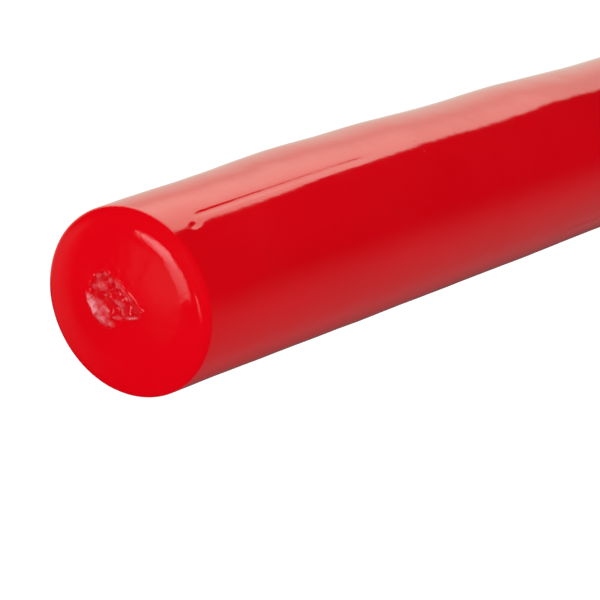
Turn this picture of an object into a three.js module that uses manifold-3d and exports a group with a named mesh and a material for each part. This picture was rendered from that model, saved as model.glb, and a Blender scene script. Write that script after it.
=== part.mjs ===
// A manual post driver: a heavy galvanised tube, closed at the top by a welded plate with a
// solid slug under it, and two straight side handles whose free ends are dipped in red vinyl.
// It stands on its open mouth. +Z is up, along the barrel, and the handles lie along X.
// Units are millimetres.

import * as THREE from "three";
import { mergeVertices } from "three/addons/utils/BufferGeometryUtils.js";
import Module from "manifold-3d";

// ---------------------------------------------------------------- driving dimensions
const GAP = 0.3; // left between pieces that touch

const BARREL_RADIUS = 38; // 3 in tube
const BARREL_WALL = 5;
const BARREL_LENGTH = 590;
const BORE_RADIUS = BARREL_RADIUS - BARREL_WALL;
const MOUTH_CHAMFER = 2.5; // lead-in that finds the post
const TOP_CHAMFER = 3.5; // one side of the welding groove

const PLATE_THICKNESS = 12;
const PLATE_EDGE = 2;
const SLUG_LENGTH = 70;

const PLUG_RADIUS = 6; // the four plug welds that hold the slug
const PLUG_CROWN = 1.4;

const COLLAR_HEIGHT = 28;
const COLLAR_THICKNESS = 6.7;
const COLLAR_EDGE = 2;

const HANDLE_HEIGHT = 552; // the handles' axis above the mouth, beside the slug
const BAR_RADIUS = 12.7; // 1 in tube
const BAR_WALL = 3.2;
const BAR_REACH = 226; // from the barrel's surface to the bar's free end
const END_PLUG_LENGTH = 8;

const GRIP_RADIUS = 16; // the bar plus 3.3 mm of vinyl
const GRIP_LENGTH = 184;
const GRIP_END_RADIUS = 14.9; // the vinyl is thinner towards the closed end
const GRIP_END_TAPER = 70; // length of that thinning
const GRIP_END_THICKNESS = 4;
const GRIP_RIM = 3; // rounding of the closed end
const GRIP_EDGE = 0.9; // vinyl left at the open edge
const GRIP_EDGE_TAPER = 7; // length over which it thins out to that edge

const GUSSET_THICKNESS = 6;
const GUSSET_DROP = 62;
const GUSSET_REACH = 29;
const GUSSET_SNIPE = 8.5; // corner cut off to clear the handle's weld
const GUSSET_TIP = 5; // blunt ends of the triangle
const GUSSET_BEAD_INSET = 1.5; // the beads stop short of the gusset's ends

const WELD_LEG = 5; // fillet size round the handles and the collar
const SMALL_LEG = 3.6; // fillet size on the gussets
const WELD_BULGE = 0.8; // how far a bead stands proud of a flat fillet

const BARREL_FACETS = 72;
const BAR_FACETS = 40;
const WELD_STEPS = 40;

// ---------------------------------------------------------------- materials
const zincCoat = new THREE.MeshStandardMaterial({ color: 0xb4b7b9, roughness: 0.42, metalness: 0.9 });
const zincedWeld = new THREE.MeshStandardMaterial({ color: 0xa3a6a8, roughness: 0.5, metalness: 0.9 });
const bareSteel = new THREE.MeshStandardMaterial({ color: 0x8d8f92, roughness: 0.4, metalness: 1.0 });
const redVinyl = new THREE.MeshStandardMaterial({ color: 0xd4001a, roughness: 0.2, metalness: 0.0 });

// ---------------------------------------------------------------- solids and booleans
const wasm = await Module();
wasm.setup();

/** Turns a closed geometry into a solid that can be joined and cut. */
function solidOf(geometry) {
  const bare = geometry.index ? geometry.toNonIndexed() : geometry.clone();
  bare.deleteAttribute("normal");
  bare.deleteAttribute("uv");
  const merged = mergeVertices(bare, 1e-4);
  return new wasm.Manifold(
    new wasm.Mesh({
      numProp: 3,
      vertProperties: merged.attributes.position.array,
      triVerts: new Uint32Array(merged.index.array),
    }),
  );
}

/** Turns a solid back into a geometry. */
function geometryOf(solid) {
  const mesh = solid.getMesh();
  return new THREE.BufferGeometry()
    .setAttribute("position", new THREE.BufferAttribute(new Float32Array(mesh.vertProperties), 3))
    .setIndex(new THREE.BufferAttribute(new Uint32Array(mesh.triVerts), 1));
}

/** Cuts each of the other geometries out of the first. */
function cut(geometry, ...tools) {
  return geometryOf(tools.reduce((solid, tool) => solid.subtract(solidOf(tool)), solidOf(geometry)));
}

/** Spins an outline of (radius, height) points about Z. Its outer side runs upwards. */
function spin(points, facets) {
  const outline = points.map((p) => (Array.isArray(p) ? new THREE.Vector2(...p) : p));
  return new THREE.LatheGeometry(outline, facets).rotateX(Math.PI / 2);
}

/** Spins an outline that comes back to its own start, as a ring. */
function spinRing(points, facets) {
  return spin([...points, points[0]], facets);
}

/** Turns a shape built along +Z so that it runs along +X. */
function layAlongX(geometry) {
  return geometry.rotateY(Math.PI / 2);
}

/** A plain round rod along Z, from one height to another. */
function rod(radius, from, to, facets) {
  return spin([[0, from], [radius, from], [radius, to], [0, to]], facets);
}

/** Sweeps a section of points round a closed loop. sectionAt(angle) gives its points. */
function sweepLoop(sectionAt, steps) {
  const rings = Array.from({ length: steps }, (_, i) => sectionAt((2 * Math.PI * i) / steps));
  const count = rings[0].length;
  const index = [];
  rings.forEach((_, i) => {
    const next = ((i + 1) % steps) * count;
    for (let k = 0; k < count; k++) {
      const along = (k + 1) % count;
      index.push(i * count + k, next + k, next + along, i * count + k, next + along, i * count + along);
    }
  });
  const positions = new Float32Array(rings.flat().flatMap((p) => [p.x, p.y, p.z]));
  return new THREE.BufferGeometry()
    .setAttribute("position", new THREE.BufferAttribute(positions, 3))
    .setIndex(index);
}

/** Adds a named piece to a group. */
function addPiece(group, name, geometry, material) {
  const mesh = new THREE.Mesh(geometry, material);
  mesh.name = name;
  group.add(mesh);
  return mesh;
}

// ---------------------------------------------------------------- barrel and its closed top
/** The tube, with a lead-in at the mouth, a welding groove at the top and the slug's plug holes. */
function barrelTube() {
  const tube = spinRing(
    [
      [BARREL_RADIUS, 0],
      [BARREL_RADIUS, BARREL_LENGTH - TOP_CHAMFER],
      [BARREL_RADIUS - TOP_CHAMFER, BARREL_LENGTH],
      [BORE_RADIUS, BARREL_LENGTH],
      [BORE_RADIUS, MOUTH_CHAMFER],
      [BORE_RADIUS + MOUTH_CHAMFER, 0],
    ],
    BARREL_FACETS,
  );
  const drills = plugAngles().map((angle) => {
    const drill = layAlongX(rod(PLUG_RADIUS, BORE_RADIUS / 2, BARREL_RADIUS + 10, BAR_FACETS / 2));
    return drill.rotateZ(angle).translate(0, 0, plugHeight());
  });
  return cut(tube, ...drills);
}

/** The disc that closes the top. */
function topPlate() {
  const foot = BARREL_LENGTH + GAP;
  const top = foot + PLATE_THICKNESS;
  return spin(
    [
      [0, foot],
      [BARREL_RADIUS - TOP_CHAMFER, foot],
      [BARREL_RADIUS, foot + TOP_CHAMFER],
      [BARREL_RADIUS, top - PLATE_EDGE],
      [BARREL_RADIUS - PLATE_EDGE, top],
      [0, top],
    ],
    BARREL_FACETS,
  );
}

/** The bead that fills the groove between the tube and the plate. */
function topPlateWeld() {
  const middle = BARREL_LENGTH + GAP / 2;
  const root = BARREL_RADIUS - TOP_CHAMFER + GAP;
  const toe = BARREL_RADIUS + GAP;
  const half = TOP_CHAMFER; // the bead covers the groove's two edges
  const crown = 1.5 * WELD_BULGE;
  return spinRing(
    [
      [root, middle],
      [toe, middle - half],
      [toe + 0.7 * crown, middle - half / 2],
      [toe + crown, middle],
      [toe + 0.7 * crown, middle + half / 2],
      [toe, middle + half],
    ],
    BARREL_FACETS,
  );
}

/** The solid slug that strikes the post. */
function strikerSlug() {
  const radius = BORE_RADIUS - GAP;
  const foot = BARREL_LENGTH - SLUG_LENGTH;
  return spin(
    [[0, foot], [radius - 1.5, foot], [radius, foot + 1.5], [radius, BARREL_LENGTH], [0, BARREL_LENGTH]],
    BARREL_FACETS,
  );
}

/** Height of the ring of plug welds: half way up the slug. */
function plugHeight() {
  return BARREL_LENGTH - SLUG_LENGTH / 2;
}

/** The four plug welds lie between the handles. */
function plugAngles() {
  return [1, 3, 5, 7].map((eighth) => (eighth * Math.PI) / 4);
}

/** One plug weld, with a low domed crown. */
function plugWeld(angle) {
  const radius = PLUG_RADIUS - GAP;
  const surface = BARREL_RADIUS - GAP;
  const weld = spin(
    [
      [0, BORE_RADIUS],
      [radius, BORE_RADIUS],
      [radius, surface],
      [0.6 * radius, surface + 0.7 * PLUG_CROWN],
      [0, surface + PLUG_CROWN],
    ],
    BAR_FACETS / 2,
  );
  return layAlongX(weld).rotateZ(angle).translate(0, 0, plugHeight());
}

// ---------------------------------------------------------------- mouth collar
/** The ring that stiffens the mouth, where the tube would otherwise bell out. */
function mouthCollar() {
  const inner = BARREL_RADIUS + GAP;
  const outer = inner + COLLAR_THICKNESS;
  return spinRing(
    [
      [outer - COLLAR_EDGE, 0],
      [outer, COLLAR_EDGE],
      [outer, COLLAR_HEIGHT - COLLAR_EDGE],
      [outer - COLLAR_EDGE, COLLAR_HEIGHT],
      [inner, COLLAR_HEIGHT],
      [inner, 0],
    ],
    BARREL_FACETS,
  );
}

/** The fillet that joins the collar's upper edge to the tube. */
function collarWeld() {
  const root = BARREL_RADIUS + GAP;
  const foot = COLLAR_HEIGHT + GAP;
  const leg = COLLAR_THICKNESS - COLLAR_EDGE;
  const middle = leg / 2 + WELD_BULGE / 2;
  return spinRing(
    [[root, foot], [root + leg, foot], [root + middle, foot + middle], [root, foot + leg]],
    BARREL_FACETS,
  );
}

// ---------------------------------------------------------------- one handle, along +X
/** The barrel's surface grown by the gap, to cut a handle's pieces to it. */
function barrelCutter() {
  return rod(BARREL_RADIUS + GAP, -BARREL_LENGTH, 2 * BARREL_LENGTH, BARREL_FACETS);
}

/** x on the barrel's surface, plus the gap, at a distance y from the plane of the handles. */
function barrelAt(y) {
  return Math.sqrt((BARREL_RADIUS + GAP) ** 2 - y ** 2);
}

/** Depth of the bar's underside, plus the gap, below its axis at a distance y from the middle. */
function barAt(y) {
  return Math.sqrt((BAR_RADIUS + GAP) ** 2 - y ** 2);
}

const BAR_END = BARREL_RADIUS + BAR_REACH;

/** The handle's steel tube, coped to the barrel. */
function handleBar() {
  const bore = BAR_RADIUS - BAR_WALL;
  const tube = spinRing(
    [[BAR_RADIUS, 0], [BAR_RADIUS, BAR_END - 1], [BAR_RADIUS - 1, BAR_END], [bore, BAR_END], [bore, 0]],
    BAR_FACETS,
  );
  return cut(layAlongX(tube), barrelCutter());
}

/** The steel plug that closes the bar, so that the dip has a flat end to cover. */
function endPlug() {
  const radius = BAR_RADIUS - BAR_WALL - GAP;
  return layAlongX(rod(radius, BAR_END - END_PLUG_LENGTH, BAR_END, BAR_FACETS));
}

/** The dipped vinyl: a sleeve with a closed, round-edged end, thin at its inner edge. */
function grip() {
  const bore = BAR_RADIUS + GAP;
  const face = BAR_END + GAP + GRIP_END_THICKNESS;
  const edge = face - GRIP_LENGTH;
  const outline = new THREE.Path()
    .moveTo(bore + GRIP_EDGE, edge)
    .quadraticCurveTo(GRIP_RADIUS, edge, GRIP_RADIUS, edge + GRIP_EDGE_TAPER)
    .lineTo(GRIP_RADIUS, face - GRIP_END_TAPER)
    .quadraticCurveTo(GRIP_RADIUS, face - GRIP_END_TAPER / 2, GRIP_END_RADIUS, face - GRIP_RIM)
    .absarc(GRIP_END_RADIUS - GRIP_RIM, face - GRIP_RIM, GRIP_RIM, 0, Math.PI / 2)
    .lineTo(0, face)
    .getPoints(6);
  const inside = [[0, BAR_END + GAP], [bore, BAR_END + GAP], [bore, edge]];
  return layAlongX(spin([...inside, ...outline], BAR_FACETS));
}

/** The fillet all round the joint of bar and barrel. It follows the saddle-shaped seam. */
function handleWeld() {
  const seam = BAR_RADIUS + GAP;
  const middle = WELD_LEG / 2 + WELD_BULGE / 2;
  const pointAt = (angle, out, along) => {
    const y = (seam + out) * Math.sin(angle);
    const z = (seam + out) * Math.cos(angle);
    return new THREE.Vector3(barrelAt(y) + along, y, z);
  };
  return sweepLoop(
    (angle) => [
      pointAt(angle, 0, 0),
      pointAt(angle, 0, WELD_LEG),
      pointAt(angle, middle, middle),
      pointAt(angle, WELD_LEG, 0),
    ],
    WELD_STEPS,
  );
}

/** The triangular web plate under the handle, snipped at its corner. */
function gusset() {
  const start = BARREL_RADIUS - 2; // cut back to the barrel's surface below
  const reach = BARREL_RADIUS + GUSSET_REACH;
  const snipe = BARREL_RADIUS + GUSSET_SNIPE;
  const outline = new THREE.Shape(
    [
      [start, -BAR_RADIUS - GUSSET_SNIPE - (BARREL_RADIUS - start)],
      [start, -BAR_RADIUS - GUSSET_DROP],
      [BARREL_RADIUS + GUSSET_TIP, -BAR_RADIUS - GUSSET_DROP],
      [reach, -BAR_RADIUS - GUSSET_TIP],
      [reach, 0],
      [snipe, 0],
      [snipe, -BAR_RADIUS],
    ].map((p) => new THREE.Vector2(...p)),
  );
  const plate = new THREE.ExtrudeGeometry(outline, { depth: GUSSET_THICKNESS, bevelEnabled: false });
  plate.rotateX(Math.PI / 2).translate(0, GUSSET_THICKNESS / 2, 0);
  const bar = layAlongX(rod(BAR_RADIUS + GAP, 0, BAR_END, BAR_FACETS));
  return cut(plate, barrelCutter(), bar);
}

/** A small fillet's section: its root corner, its two toes and a middle that bulges outwards. */
function filletSection(root, toeA, toeB) {
  const middle = toeA.clone().add(toeB).multiplyScalar(0.5);
  const bulge = middle.clone().sub(root).setLength(WELD_BULGE / 2);
  return new THREE.Shape([root, toeA, middle.add(bulge), toeB]);
}

/** A straight fillet on the +Y side of the gusset. surfaceAt(y) is the other piece's surface. */
function gussetBead(surfaceAt, length) {
  const side = GUSSET_THICKNESS / 2 + GAP;
  const root = new THREE.Vector2(surfaceAt(side), side);
  const toeOnGusset = new THREE.Vector2(surfaceAt(side) + SMALL_LEG, side);
  const toeOnSurface = new THREE.Vector2(surfaceAt(side + SMALL_LEG), side + SMALL_LEG);
  const section = filletSection(root, toeOnGusset, toeOnSurface);
  return new THREE.ExtrudeGeometry(section, { depth: length, bevelEnabled: false });
}

/** The fillet between the gusset and the barrel. It runs upwards. */
function gussetUprightWeld() {
  const length = GUSSET_DROP - GUSSET_SNIPE - 2 * GUSSET_BEAD_INSET;
  return gussetBead(barrelAt, length).translate(0, 0, GUSSET_BEAD_INSET - BAR_RADIUS - GUSSET_DROP);
}

/** The fillet between the gusset and the bar. It runs outwards. */
function gussetLevelWeld() {
  const length = GUSSET_REACH - GUSSET_SNIPE - 2 * GUSSET_BEAD_INSET;
  const bead = layAlongX(gussetBead(barAt, length));
  return bead.translate(BARREL_RADIUS + GUSSET_SNIPE + GUSSET_BEAD_INSET, 0, 0);
}

/** The same closed geometry mirrored in the plane y = 0, with its faces turned back out. */
function mirroredInY(geometry) {
  const mirrored = geometry.index ? geometry.toNonIndexed() : geometry.clone();
  mirrored.scale(1, -1, 1);
  const position = mirrored.getAttribute("position");
  const corners = [];
  for (let i = 0; i < position.count; i += 3) {
    for (const k of [i, i + 2, i + 1]) corners.push(position.getX(k), position.getY(k), position.getZ(k));
  }
  return new THREE.BufferGeometry().setAttribute("position", new THREE.Float32BufferAttribute(corners, 3));
}

/** All the pieces of one handle. Turned half round about Z, they make the other one. */
function addHandle(group, side, turn) {
  const handle = new THREE.Group();
  handle.position.z = HANDLE_HEIGHT;
  handle.rotation.z = turn;
  group.add(handle);
  addPiece(handle, `${side}_handle_bar`, handleBar(), zincCoat);
  addPiece(handle, `${side}_end_plug`, endPlug(), bareSteel);
  addPiece(handle, `${side}_grip`, grip(), redVinyl);
  addPiece(handle, `${side}_handle_weld`, handleWeld(), zincedWeld);
  addPiece(handle, `${side}_gusset`, gusset(), zincCoat);
  const beads = { upright: gussetUprightWeld(), level: gussetLevelWeld() };
  for (const [run, bead] of Object.entries(beads)) {
    addPiece(handle, `${side}_gusset_${run}_weld_a`, bead, zincedWeld);
    addPiece(handle, `${side}_gusset_${run}_weld_b`, mirroredInY(bead), zincedWeld);
  }
}

// ---------------------------------------------------------------- the whole driver
const driver = new THREE.Group();
addPiece(driver, "barrel_tube", barrelTube(), zincCoat);
addPiece(driver, "top_plate", topPlate(), zincCoat);
addPiece(driver, "top_plate_weld", topPlateWeld(), zincedWeld);
addPiece(driver, "striker_slug", strikerSlug(), bareSteel);
plugAngles().forEach((angle, i) => addPiece(driver, `slug_plug_weld_${i + 1}`, plugWeld(angle), zincedWeld));
addPiece(driver, "mouth_collar", mouthCollar(), zincCoat);
addPiece(driver, "collar_weld", collarWeld(), zincedWeld);
addHandle(driver, "left", Math.PI);
addHandle(driver, "right", 0);

export default driver;
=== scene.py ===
"""The looks of a manual post driver: a galvanised tube with two red, dip-moulded vinyl grips.

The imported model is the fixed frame. Each visible piece is built here as a fine mesh in the same
place and dressed in a procedural finish. Lengths are in metres, and MM turns millimetres into them.
"""

import logging
import math
from dataclasses import dataclass
from enum import Enum
from typing import Mapping, Sequence

import bmesh
import bpy
import numpy as np
from mathutils import Matrix, Vector, noise


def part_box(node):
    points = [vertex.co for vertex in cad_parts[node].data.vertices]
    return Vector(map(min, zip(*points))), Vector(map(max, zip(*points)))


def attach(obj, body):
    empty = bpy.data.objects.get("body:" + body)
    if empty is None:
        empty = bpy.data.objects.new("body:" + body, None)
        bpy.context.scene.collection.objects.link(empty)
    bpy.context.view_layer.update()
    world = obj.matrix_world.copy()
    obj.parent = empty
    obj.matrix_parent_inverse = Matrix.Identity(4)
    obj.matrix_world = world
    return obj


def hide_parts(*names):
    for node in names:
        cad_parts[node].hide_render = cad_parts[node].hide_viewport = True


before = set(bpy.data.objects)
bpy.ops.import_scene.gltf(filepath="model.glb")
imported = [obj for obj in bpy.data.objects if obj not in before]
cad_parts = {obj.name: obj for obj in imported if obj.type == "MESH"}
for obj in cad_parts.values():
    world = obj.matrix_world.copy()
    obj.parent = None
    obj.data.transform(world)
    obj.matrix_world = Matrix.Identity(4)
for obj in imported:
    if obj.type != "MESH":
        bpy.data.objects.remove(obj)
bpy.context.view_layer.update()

LOG = logging.getLogger("post_driver")
MM = 0.001
TURN = 2 * math.pi
BODY = "root"
ARC_STEPS = 5
ROUND_SEGMENTS = 256
SLUG_GAP = 0.3 * MM
DISC_MIDDLE = 0.6 * MM
UPWARD = np.array((0, 0, 1.0))


# ------------------------------------------------------------------------------------ shader maths
class Signal:
    """A number, colour or vector that leaves a node, with arithmetic for the numbers."""

    def __init__(self, sheet: "NodeSheet", socket: bpy.types.NodeSocket) -> None:
        """Wraps a socket.

        Args:
            sheet: the node sheet that the socket is on.
            socket: the output socket.
        """
        self.sheet = sheet
        self.socket = socket

    def _math(self, operation: str, *values: "Signal | float") -> "Signal":
        """One Math node.

        Args:
            operation: the node's operation.
            values: its inputs, in order.

        Returns:
            The node's result.
        """
        inputs = dict(enumerate(values))
        return self.sheet.node("ShaderNodeMath", {"operation": operation}, inputs)

    def __add__(self, other: "Signal | float") -> "Signal":
        """self + other."""
        return self._math("ADD", self, other)

    __radd__ = __add__

    def __sub__(self, other: "Signal | float") -> "Signal":
        """self - other."""
        return self._math("SUBTRACT", self, other)

    def __rsub__(self, other: float) -> "Signal":
        """other - self."""
        return self._math("SUBTRACT", other, self)

    def __mul__(self, other: "Signal | float") -> "Signal":
        """self * other."""
        return self._math("MULTIPLY", self, other)

    __rmul__ = __mul__

    def most(self, other: "Signal | float") -> "Signal":
        """The larger of the two."""
        return self._math("MAXIMUM", self, other)

    def ramp(self, low: float, high: float) -> "Signal":
        """A smooth step: 0 at low and 1 at high. low may be the larger, for a falling step."""
        settings = {"interpolation_type": "SMOOTHSTEP", "clamp": True}
        inputs = {0: self, 1: min(low, high), 2: max(low, high)}
        rising = self.sheet.node("ShaderNodeMapRange", settings, inputs)
        return rising if low < high else 1 - rising

    def part(self, index: int) -> "Signal":
        """One of the three numbers of a vector or colour."""
        split = self.sheet.add("ShaderNodeSeparateXYZ", {}, {0: self})
        return Signal(self.sheet, split.outputs[index])


class NodeSheet:
    """A shader node tree in the making."""

    def __init__(self, tree: bpy.types.NodeTree) -> None:
        """Empties a tree and starts on it."""
        self.tree = tree
        tree.nodes.clear()

    def add(self, kind: str, settings: Mapping[str, object],
            inputs: Mapping[int | str, object]) -> bpy.types.Node:
        """Adds one node.

        Args:
            kind: the node's type.
            settings: its own settings, which are made first.
            inputs: a value or a Signal for each of its sockets, by name or number.

        Returns:
            The node.
        """
        node = self.tree.nodes.new(kind)
        for key, value in settings.items():
            setattr(node, key, value)
        for key, value in inputs.items():
            if isinstance(value, Signal):
                self.tree.links.new(value.socket, node.inputs[key])
            else:
                node.inputs[key].default_value = value
        return node

    def node(self, kind: str, settings: Mapping[str, object], inputs: Mapping[int | str, object],
             output: int | str = 0) -> Signal:
        """Adds one node and gives one of its outputs.

        Args:
            kind: the node's type.
            settings: its own settings.
            inputs: values or Signals for its sockets.
            output: the output's name or number.

        Returns:
            The output.
        """
        return Signal(self, self.add(kind, settings, inputs).outputs[output])

    def place(self) -> Signal:
        """The point on the driver, in millimetres from the middle of its mouth."""
        metres = self.node("ShaderNodeTexCoord", {}, {}, "Object")
        return self.scaled(metres, 1 / MM)

    def scaled(self, vector: Signal, factor: float) -> Signal:
        """A vector made longer."""
        return self.node("ShaderNodeVectorMath", {"operation": "SCALE"}, {0: vector, "Scale": factor})

    def stretched(self, vector: Signal, x: float, y: float, z: float) -> Signal:
        """A vector multiplied part by part."""
        return self.node("ShaderNodeVectorMath", {"operation": "MULTIPLY"}, {0: vector, 1: (x, y, z)})

    def facing(self, vector: Signal, direction: Sequence[float]) -> Signal:
        """How far a direction points along another: their dot product."""
        settings = {"operation": "DOT_PRODUCT"}
        return self.node("ShaderNodeVectorMath", settings, {0: vector, 1: tuple(direction)}, "Value")

    def cloud(self, vector: Signal, size: float, detail: float = 3.0, rough: float = 0.5) -> Signal:
        """Soft noise, about 0 to 1, whose patches are about size millimetres across."""
        inputs = {"Vector": vector, "Scale": 1 / size, "Detail": detail, "Roughness": rough}
        return self.node("ShaderNodeTexNoise", {"normalize": True}, inputs, "Fac")

    def cells(self, vector: Signal, size: float, feature: str = "F1", output: str = "Distance") -> Signal:
        """A cell pattern whose cells are about size millimetres across."""
        inputs = {"Vector": vector, "Scale": 1 / size}
        return self.node("ShaderNodeTexVoronoi", {"feature": feature}, inputs, output)

    def blend(self, first: Sequence[float] | Signal, second: Sequence[float] | Signal,
              factor: Signal) -> Signal:
        """A colour between two colours."""
        colours = {0: factor, 6: first, 7: second}
        return self.node("ShaderNodeMix", {"data_type": "RGBA"}, colours, 2)

    def bump(self, height: Signal, distance: float, under: Signal | None = None) -> Signal:
        """A normal that follows a height.

        Args:
            height: the height, about 0 to 1.
            distance: what a height of 1 stands for, in metres.
            under: a normal to start from.

        Returns:
            The normal.
        """
        inputs: dict[int | str, object] = {"Strength": 1.0, "Distance": distance, "Height": height}
        if under is not None:
            inputs["Normal"] = under
        return self.node("ShaderNodeBump", {}, inputs, "Normal")


def rgb(red: float, green: float, blue: float) -> tuple[float, float, float, float]:
    """A colour for a socket, from three linear parts."""
    return (red, green, blue, 1.0)


# ---------------------------------------------------------------------------------------- finishes
class Slot(Enum):
    """The record's material slots."""

    ZINC = "zinc_coat"
    WELD = "zinced_weld"
    STEEL = "bare_steel"
    VINYL = "red_vinyl"


@dataclass(frozen=True)
class Finish:
    """What every finish has: the name of its material and the slot that it belongs to."""

    name: str
    slot: Slot

    def paint(self, sheet: NodeSheet) -> dict[str, object]:
        """The Principled shader's inputs. Each finish has its own."""
        raise NotImplementedError

    def material(self) -> bpy.types.Material:
        """Makes the material, or gives the one that is there already.

        Returns:
            The material.
        """
        made = bpy.data.materials.get(self.name)
        if made is None:
            made = bpy.data.materials.new(self.name)
            made.use_nodes = True
            sheet = NodeSheet(made.node_tree)
            surface = sheet.node("ShaderNodeBsdfPrincipled", {}, self.paint(sheet))
            sheet.add("ShaderNodeOutputMaterial", {}, {"Surface": surface})
        return made


@dataclass(frozen=True)
class DippedVinyl(Finish):
    """Glossy red plastisol, a little uneven, with specks and hairline scuffs, a darker red where it tore,
    and a painted pinkish highlight on the torn drip's mounds.
    """

    name: str = "dipped_red_vinyl"
    slot: Slot = Slot.VINYL
    red: tuple[float, float, float, float] = rgb(0.80, 0.0, 0.006)
    deep_red: tuple[float, float, float, float] = rgb(0.76, 0.0, 0.005)
    torn_red: tuple[float, float, float, float] = rgb(0.66, 0.003, 0.010)
    painted_glint_red: tuple[float, float, float, float] = rgb(0.97, 0.42, 0.47)
    gloss_ior: float = 1.48

    def paint(self, sheet: NodeSheet) -> dict[str, object]:
        """Colour, gloss and the fine relief of the dipped surface."""
        place = sheet.place()
        torn = sheet.node("ShaderNodeAttribute", {"attribute_name": DippedGrip.TORN}, {}, "Fac")
        flow = sheet.cloud(sheet.stretched(place, 0.4, 1.0, 1.0), 16.0, 2.0)
        body = sheet.blend(self.deep_red, self.red, flow.ramp(0.3, 0.62))
        # The pale attribute is a painted highlight: pinkish white laid on the torn drip's mounds, where the
        # lamps' glints would fall.
        pale = sheet.node("ShaderNodeAttribute", {"attribute_name": DippedGrip.PAINTED_GLINT}, {}, "Fac")
        colour = sheet.blend(body, self.torn_red, torn * 0.6)
        colour = sheet.blend(colour, self.painted_glint_red, pale * sheet.cloud(place, 0.7, 4.0, 0.7).ramp(0.25, 0.7))
        smudge = sheet.cloud(place, 9.0, 4.0, 0.6).ramp(0.45, 0.75)
        scuffs = sheet.cloud(sheet.stretched(place, 0.12, 1.0, 1.0), 0.5, 2.0).ramp(0.66, 0.74)
        gloss = 0.085 + 0.035 * smudge + 0.05 * scuffs
        specks = sheet.cells(place, 3.4).ramp(0.09, 0.03) * sheet.cloud(place, 7.0).ramp(0.5, 0.6)
        swells = sheet.cloud(place, 5.0, 2.0)
        peel = sheet.cloud(place, 0.9, 2.0)
        relief = sheet.bump(swells, 0.05 * MM)
        relief = sheet.bump(peel * (0.6 + 0.9 * torn) + 1.3 * specks, 0.015 * MM, under=relief)
        return {"Base Color": colour, "Roughness": gloss, "Normal": relief, "IOR": self.gloss_ior}


@dataclass(frozen=True)
class HotDipZinc(Finish):
    """Hot-dip galvanised steel: pale spangles, faint runs, and dull scuffs and soil where it works."""

    name: str = "hot_dip_zinc"
    slot: Slot = Slot.ZINC
    pale: tuple[float, float, float, float] = rgb(0.66, 0.67, 0.68)
    grey: tuple[float, float, float, float] = rgb(0.40, 0.415, 0.43)
    worn: tuple[float, float, float, float] = rgb(0.30, 0.29, 0.28)
    soil: tuple[float, float, float, float] = rgb(0.13, 0.095, 0.065)
    spangle: float = 8.0
    base_roughness: float = 0.33
    mouth_height: float = 34.0
    top_height: float = 588.0

    def paint(self, sheet: NodeSheet) -> dict[str, object]:
        """Spangles, runs and wear. Heights are millimetres above the mouth."""
        place = sheet.place()
        wander = sheet.cloud(place, 5.0, 2.0)
        height = place.part(2)
        grain = sheet.cells(place, self.spangle, output="Color").part(0)
        fern = sheet.cells(place, self.spangle / 3.2, output="Color").part(1)
        crystal = 0.65 * grain + 0.35 * fern
        mist = sheet.cloud(place, 60.0, 4.0, 0.6)
        colour = sheet.blend(self.grey, self.pale, (0.75 * crystal + 0.6 * mist - 0.15).ramp(0.0, 1.0))
        runs = sheet.cloud(sheet.stretched(place, 1.0, 1.0, 0.08), 6.0, 3.0)
        low = (height + 26 * (wander - 0.5)).ramp(self.mouth_height, 2.0)
        high = (height + 10 * (wander - 0.5)).ramp(self.top_height, self.top_height + 12)
        scratch = sheet.cloud(sheet.stretched(place, 1.0, 1.0, 0.1), 1.1, 3.0).ramp(0.52, 0.62)
        knock = sheet.cloud(place, 2.4, 4.0, 0.7).ramp(0.5, 0.62)
        wear = (low * scratch).most(high * knock)
        colour = sheet.blend(colour, self.worn, 0.75 * wear)
        mud = low * sheet.cloud(place, 12.0, 5.0, 0.65).ramp(0.5, 0.66)
        colour = sheet.blend(colour, self.soil, 0.8 * mud)
        rough = self.base_roughness + 0.16 * crystal + 0.1 * (1 - mist) + 0.12 * wear + 0.4 * mud
        relief = sheet.bump(runs + 0.25 * crystal, 0.14 * MM)
        relief = sheet.bump(sheet.cloud(place, 0.7, 3.0) + 0.8 * scratch * low, 0.02 * MM, under=relief)
        return {"Base Color": colour, "Metallic": 1 - 0.85 * mud, "Roughness": rough, "Normal": relief}


@dataclass(frozen=True)
class ZincedWeld(HotDipZinc):
    """The same zinc on a weld: duller, greyer and grainier."""

    name: str = "zinc_on_weld"
    slot: Slot = Slot.WELD
    pale: tuple[float, float, float, float] = rgb(0.55, 0.56, 0.57)
    grey: tuple[float, float, float, float] = rgb(0.33, 0.34, 0.35)
    spangle: float = 3.0
    base_roughness: float = 0.4


@dataclass(frozen=True)
class StruckSteel(Finish):
    """Bare mild steel, turned smooth once and peened by post ends since."""

    name: str = "struck_steel"
    slot: Slot = Slot.STEEL
    bright: tuple[float, float, float, float] = rgb(0.52, 0.50, 0.47)
    dull: tuple[float, float, float, float] = rgb(0.20, 0.17, 0.14)

    def paint(self, sheet: NodeSheet) -> dict[str, object]:
        """Turning marks, dents and a thin brown bloom."""
        place = sheet.place()
        radius = sheet.node("ShaderNodeVectorMath", {"operation": "LENGTH"},
                            {0: sheet.stretched(place, 1.0, 1.0, 0.0)}, "Value")
        rings = sheet.node("ShaderNodeMath", {"operation": "SINE"}, {0: radius * (TURN / 0.7)})
        bloom = sheet.cloud(place, 9.0, 5.0, 0.65).ramp(0.42, 0.68)
        dents = sheet.cells(place, 5.0).ramp(0.5, 0.1)
        colour = sheet.blend(self.bright, self.dull, bloom)
        relief = sheet.bump(0.3 * rings - dents, 0.08 * MM)
        return {"Base Color": colour, "Metallic": 1.0 - 0.35 * bloom,
                "Roughness": 0.3 + 0.3 * bloom, "Normal": relief}


# ----------------------------------------------------------------------------------- mesh building
@dataclass(frozen=True)
class Corner:
    """A corner of a turned outline: its radius from the axis, its height and its rounding."""

    out: float
    up: float
    rounding: float = 0.0


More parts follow.
